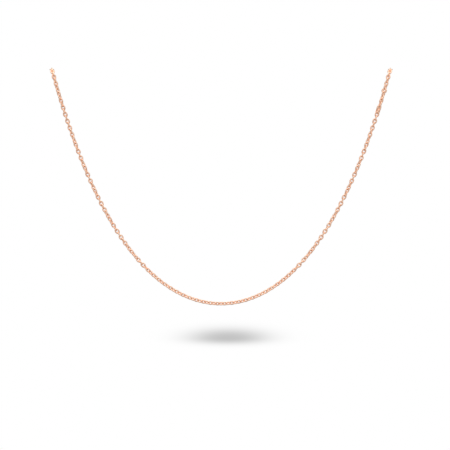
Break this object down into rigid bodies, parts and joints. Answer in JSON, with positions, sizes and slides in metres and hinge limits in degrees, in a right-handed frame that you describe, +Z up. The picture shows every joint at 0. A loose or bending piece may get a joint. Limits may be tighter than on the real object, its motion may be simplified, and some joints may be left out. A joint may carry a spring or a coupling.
{
  "type": "chain necklace",
  "caption": "Fine cable-link chain necklace with a spring-ring clasp and end tab, hung folded double over two pegs so that each half is a deep U.",
  "frame": {"origin": "middle of the line between the two pegs, at the height where the front strand leaves them and midway between the two strands", "axes": "+X to the right along the span, -Y towards the viewer, +Z up"},
  "size_m": [0.122, 0.0103, 0.0863],
  "materials": {
    "chain_gold": "polished",
    "clasp_gold": "polished",
    "spring_steel": "satin"
  },
  "bodies": {
    "peg_turns": {"left_peg_turn": "chain_gold", "right_peg_turn": "chain_gold"},
    "front_left_1": {"front_left_1": "chain_gold"},
    "front_left_2": {"front_left_2": "chain_gold"},
    "front_left_3": {"front_left_3": "chain_gold"},
    "front_left_4": {"front_left_4": "chain_gold"},
    "front_left_5": {"front_left_5": "chain_gold"},
    "front_left_6": {"front_left_6": "chain_gold"},
    "front_left_7": {"front_left_7": "chain_gold"},
    "front_left_8": {"front_left_8": "chain_gold"},
    "front_right_1": {"front_right_1": "chain_gold"},
    "front_right_2": {"front_right_2": "chain_gold"},
    "front_right_3": {"front_right_3": "chain_gold"},
    "front_right_4": {"front_right_4": "chain_gold"},
    "front_right_5": {"front_right_5": "chain_gold"},
    "front_right_6": {"front_right_6": "chain_gold"},
    "front_right_7": {"front_right_7": "chain_gold"},
    "front_right_8": {"front_right_8": "chain_gold"},
    "front_bottom": {"front_bottom": "chain_gold"},
    "back_left_1": {"back_left_1": "chain_gold"},
    "back_left_2": {"back_left_2": "chain_gold"},
    "back_left_3": {"back_left_3": "chain_gold"},
    "back_left_4": {"back_left_4": "chain_gold"},
    "back_left_5": {"back_left_5": "chain_gold"},
    "back_left_6": {"back_left_6": "chain_gold"},
    "back_left_7": {"back_left_7": "chain_gold"},
    "back_left_8": {"back_left_8": "chain_gold"},
    "back_left_9": {"back_left_9": "chain_gold"},
    "back_left_10": {"back_left_10": "chain_gold"},
    "back_left_11": {"back_left_11": "chain_gold"},
    "back_right_1": {"back_right_1": "chain_gold"},
    "back_right_5": {"back_right_5": "chain_gold"},
    "back_right_6": {"back_right_6": "chain_gold"},
    "back_right_7": {"back_right_7": "chain_gold"},
    "back_right_8": {"back_right_8": "chain_gold"},
    "back_right_9": {"back_right_9": "chain_gold"},
    "back_right_10": {"back_right_10": "chain_gold"},
    "back_right_11": {"back_right_11": "chain_gold"},
    "back_bottom": {"back_bottom": "chain_gold"},
    "jump_ring": {"jump_ring": "clasp_gold"},
    "clasp": {"ring_tube": "clasp_gold", "ring_eyelet": "clasp_gold", "return_spring": "spring_steel", "spring_stop": "clasp_gold"},
    "bolt": {"ring_bolt": "clasp_gold", "thumb_knob": "clasp_gold"},
    "end_tab": {"end_tab": "clasp_gold"}
  },
  "joints": [
    {"name": "front_left_hinge_1", "type": "hinge", "parent": "peg_turns", "child": "front_left_1", "pos_m": [-0.05936, -0.0033, 0], "axis": [1, 0, 0], "range_deg": [-60, 2.5]},
    {"name": "front_left_hinge_2", "type": "hinge", "parent": "front_left_1", "child": "front_left_2", "pos_m": [-0.05647, -0.0033, -0.00981], "axis": [1, 0, 0], "range_deg": [-20, 2.5]},
    {"name": "front_left_hinge_3", "type": "hinge", "parent": "front_left_2", "child": "front_left_3", "pos_m": [-0.05329, -0.0033, -0.01954], "axis": [1, 0, 0], "range_deg": [-20, 2.5]},
    {"name": "front_left_hinge_4", "type": "hinge", "parent": "front_left_3", "child": "front_left_4", "pos_m": [-0.04975, -0.0033, -0.02913], "axis": [1, 0, 0], "range_deg": [-20, 2.5]},
    {"name": "front_left_hinge_5", "type": "hinge", "parent": "front_left_4", "child": "front_left_5", "pos_m": [-0.04524, -0.0033, -0.03972], "axis": [1, 0, 0], "range_deg": [-20, 2.5]},
    {"name": "front_left_hinge_6", "type": "hinge", "parent": "front_left_5", "child": "front_left_6", "pos_m": [-0.04001, -0.0033, -0.04997], "axis": [1, 0, 0], "range_deg": [-20, 2.5]},
    {"name": "front_left_hinge_7", "type": "hinge", "parent": "front_left_6", "child": "front_left_7", "pos_m": [-0.03385, -0.0033, -0.05968], "axis": [1, 0, 0], "range_deg": [-20, 2.5]},
    {"name": "front_left_hinge_8", "type": "hinge", "parent": "front_left_7", "child": "front_left_8", "pos_m": [-0.02646, -0.0033, -0.06849], "axis": [1, 0, 0], "range_deg": [-20, 2.5]},
    {"name": "front_right_hinge_1", "type": "hinge", "parent": "peg_turns", "child": "front_right_1", "pos_m": [0.05936, -0.0033, 0], "axis": [1, 0, 0], "range_deg": [-60, 2.5]},
    {"name": "front_right_hinge_2", "type": "hinge", "parent": "front_right_1", "child": "front_right_2", "pos_m": [0.05647, -0.0033, -0.00981], "axis": [1, 0, 0], "range_deg": [-20, 2.5]},
    {"name": "front_right_hinge_3", "type": "hinge", "parent": "front_right_2", "child": "front_right_3", "pos_m": [0.05329, -0.0033, -0.01954], "axis": [1, 0, 0], "range_deg": [-20, 2.5]},
    {"name": "front_right_hinge_4", "type": "hinge", "parent": "front_right_3", "child": "front_right_4", "pos_m": [0.04975, -0.0033, -0.02913], "axis": [1, 0, 0], "range_deg": [-20, 2.5]},
    {"name": "front_right_hinge_5", "type": "hinge", "parent": "front_right_4", "child": "front_right_5", "pos_m": [0.04524, -0.0033, -0.03972], "axis": [1, 0, 0], "range_deg": [-20, 2.5]},
    {"name": "front_right_hinge_6", "type": "hinge", "parent": "front_right_5", "child": "front_right_6", "pos_m": [0.04001, -0.0033, -0.04997], "axis": [1, 0, 0], "range_deg": [-20, 2.5]},
    {"name": "front_right_hinge_7", "type": "hinge", "parent": "front_right_6", "child": "front_right_7", "pos_m": [0.03385, -0.0033, -0.05968], "axis": [1, 0, 0], "range_deg": [-20, 2.5]},
    {"name": "front_right_hinge_8", "type": "hinge", "parent": "front_right_7", "child": "front_right_8", "pos_m": [0.02646, -0.0033, -0.06849], "axis": [1, 0, 0], "range_deg": [-20, 2.5]},
    {"name": "front_bottom_hinge", "type": "hinge", "parent": "front_left_8", "child": "front_bottom", "pos_m": [-0.01752, -0.0033, -0.0757], "axis": [1, 0, 0], "range_deg": [-20, 2.5]},
    {"name": "back_left_hinge_1", "type": "hinge", "parent": "peg_turns", "child": "back_left_1", "pos_m": [-0.05936, 0.0033, -0.00093], "axis": [1, 0, 0], "range_deg": [-2.5, 60]},
    {"name": "back_left_hinge_2", "type": "hinge", "parent": "back_left_1", "child": "back_left_2", "pos_m": [-0.05831, 0.0033, -0.00462], "axis": [1, 0, 0], "range_deg": [-2.5, 10]},
    {"name": "back_left_hinge_3", "type": "hinge", "parent": "back_left_2", "child": "back_left_3", "pos_m": [-0.05795, 0.0033, -0.00585], "axis": [1, 0, 0], "range_deg": [-2.5, 10]},
    {"name": "back_left_hinge_4", "type": "hinge", "parent": "back_left_3", "child": "back_left_4", "pos_m": [-0.05647, 0.0033, -0.01074], "axis": [1, 0, 0], "range_deg": [-2.5, 10]},
    {"name": "back_left_hinge_5", "type": "hinge", "parent": "back_left_4", "child": "back_left_5", "pos_m": [-0.05531, 0.0033, -0.0144], "axis": [1, 0, 0], "range_deg": [-2.5, 10]},
    {"name": "back_left_hinge_6", "type": "hinge", "parent": "back_left_5", "child": "back_left_6", "pos_m": [-0.05244, 0.0033, -0.02288], "axis": [1, 0, 0], "range_deg": [-2.5, 16]},
    {"name": "back_left_hinge_7", "type": "hinge", "parent": "back_left_6", "child": "back_left_7", "pos_m": [-0.0488, 0.0033, -0.03244], "axis": [1, 0, 0], "range_deg": [-2.5, 16]},
    {"name": "back_left_hinge_8", "type": "hinge", "parent": "back_left_7", "child": "back_left_8", "pos_m": [-0.0447, 0.0033, -0.04181], "axis": [1, 0, 0], "range_deg": [-2.5, 16]},
    {"name": "back_left_hinge_9", "type": "hinge", "parent": "back_left_8", "child": "back_left_9", "pos_m": [-0.04001, 0.0033, -0.0509], "axis": [1, 0, 0], "range_deg": [-2.5, 16]},
    {"name": "back_left_hinge_10", "type": "hinge", "parent": "back_left_9", "child": "back_left_10", "pos_m": [-0.03385, 0.0033, -0.06061], "axis": [1, 0, 0], "range_deg": [-2.5, 16]},
    {"name": "back_left_hinge_11", "type": "hinge", "parent": "back_left_10", "child": "back_left_11", "pos_m": [-0.02646, 0.0033, -0.06942], "axis": [1, 0, 0], "range_deg": [-2.5, 16]},
    {"name": "back_right_hinge_1", "type": "hinge", "parent": "peg_turns", "child": "back_right_1", "pos_m": [0.05936, 0.0033, -0.00093], "axis": [1, 0, 0], "range_deg": [-2.5, 60]},
    {"name": "back_right_hinge_2", "type": "hinge", "parent": "back_right_1", "child": "jump_ring", "pos_m": [0.05831, 0.0033, -0.00462], "axis": [1, 0, 0], "range_deg": [-2.5, 10]},
    {"name": "back_right_hinge_3", "type": "hinge", "parent": "jump_ring", "child": "clasp", "pos_m": [0.05795, 0.0033, -0.00585], "axis": [1, 0, 0], "range_deg": [-2.5, 10]},
    {"name": "back_right_hinge_4", "type": "hinge", "parent": "clasp", "child": "end_tab", "pos_m": [0.05647, 0.0033, -0.01074], "axis": [1, 0, 0], "range_deg": [-2.5, 10]},
    {"name": "back_right_hinge_5", "type": "hinge", "parent": "end_tab", "child": "back_right_5", "pos_m": [0.05531, 0.0033, -0.0144], "axis": [1, 0, 0], "range_deg": [-2.5, 10]},
    {"name": "back_right_hinge_6", "type": "hinge", "parent": "back_right_5", "child": "back_right_6", "pos_m": [0.05244, 0.0033, -0.02288], "axis": [1, 0, 0], "range_deg": [-2.5, 16]},
    {"name": "back_right_hinge_7", "type": "hinge", "parent": "back_right_6", "child": "back_right_7", "pos_m": [0.0488, 0.0033, -0.03244], "axis": [1, 0, 0], "range_deg": [-2.5, 16]},
    {"name": "back_right_hinge_8", "type": "hinge", "parent": "back_right_7", "child": "back_right_8", "pos_m": [0.0447, 0.0033, -0.04181], "axis": [1, 0, 0], "range_deg": [-2.5, 16]},
    {"name": "back_right_hinge_9", "type": "hinge", "parent": "back_right_8", "child": "back_right_9", "pos_m": [0.04001, 0.0033, -0.0509], "axis": [1, 0, 0], "range_deg": [-2.5, 16]},
    {"name": "back_right_hinge_10", "type": "hinge", "parent": "back_right_9", "child": "back_right_10", "pos_m": [0.03385, 0.0033, -0.06061], "axis": [1, 0, 0], "range_deg": [-2.5, 16]},
    {"name": "back_right_hinge_11", "type": "hinge", "parent": "back_right_10", "child": "back_right_11", "pos_m": [0.02646, 0.0033, -0.06942], "axis": [1, 0, 0], "range_deg": [-2.5, 16]},
    {"name": "back_bottom_hinge", "type": "hinge", "parent": "back_left_11", "child": "back_bottom", "pos_m": [-0.01752, 0.0033, -0.07663], "axis": [1, 0, 0], "range_deg": [-2.5, 16]},
    {"name": "bolt_slide_round_ring", "type": "hinge", "parent": "clasp", "child": "bolt", "pos_m": [0.0569, 0.0033, -0.00931], "axis": [0.9573, 0, -0.2889], "range_deg": [0, 42], "stiffness_Nm_per_rad": 0.0015, "springref_deg": -17.19, "deforming": ["return_spring"]}
  ],
  "couplings": [
    {"joint": "front_right_hinge_1", "follows": "front_left_hinge_1", "ratio": 1},
    {"joint": "front_right_hinge_2", "follows": "front_left_hinge_2", "ratio": 1},
    {"joint": "front_right_hinge_3", "follows": "front_left_hinge_3", "ratio": 1},
    {"joint": "front_right_hinge_4", "follows": "front_left_hinge_4", "ratio": 1},
    {"joint": "front_right_hinge_5", "follows": "front_left_hinge_5", "ratio": 1},
    {"joint": "front_right_hinge_6", "follows": "front_left_hinge_6", "ratio": 1},
    {"joint": "front_right_hinge_7", "follows": "front_left_hinge_7", "ratio": 1},
    {"joint": "front_right_hinge_8", "follows": "front_left_hinge_8", "ratio": 1},
    {"joint": "back_right_hinge_1", "follows": "back_left_hinge_1", "ratio": 1},
    {"joint": "back_right_hinge_2", "follows": "back_left_hinge_2", "ratio": 1},
    {"joint": "back_right_hinge_3", "follows": "back_left_hinge_3", "ratio": 1},
    {"joint": "back_right_hinge_4", "follows": "back_left_hinge_4", "ratio": 1},
    {"joint": "back_right_hinge_5", "follows": "back_left_hinge_5", "ratio": 1},
    {"joint": "back_right_hinge_6", "follows": "back_left_hinge_6", "ratio": 1},
    {"joint": "back_right_hinge_7", "follows": "back_left_hinge_7", "ratio": 1},
    {"joint": "back_right_hinge_8", "follows": "back_left_hinge_8", "ratio": 1},
    {"joint": "back_right_hinge_9", "follows": "back_left_hinge_9", "ratio": 1},
    {"joint": "back_right_hinge_10", "follows": "back_left_hinge_10", "ratio": 1},
    {"joint": "back_right_hinge_11", "follows": "back_left_hinge_11", "ratio": 1}
  ]
}
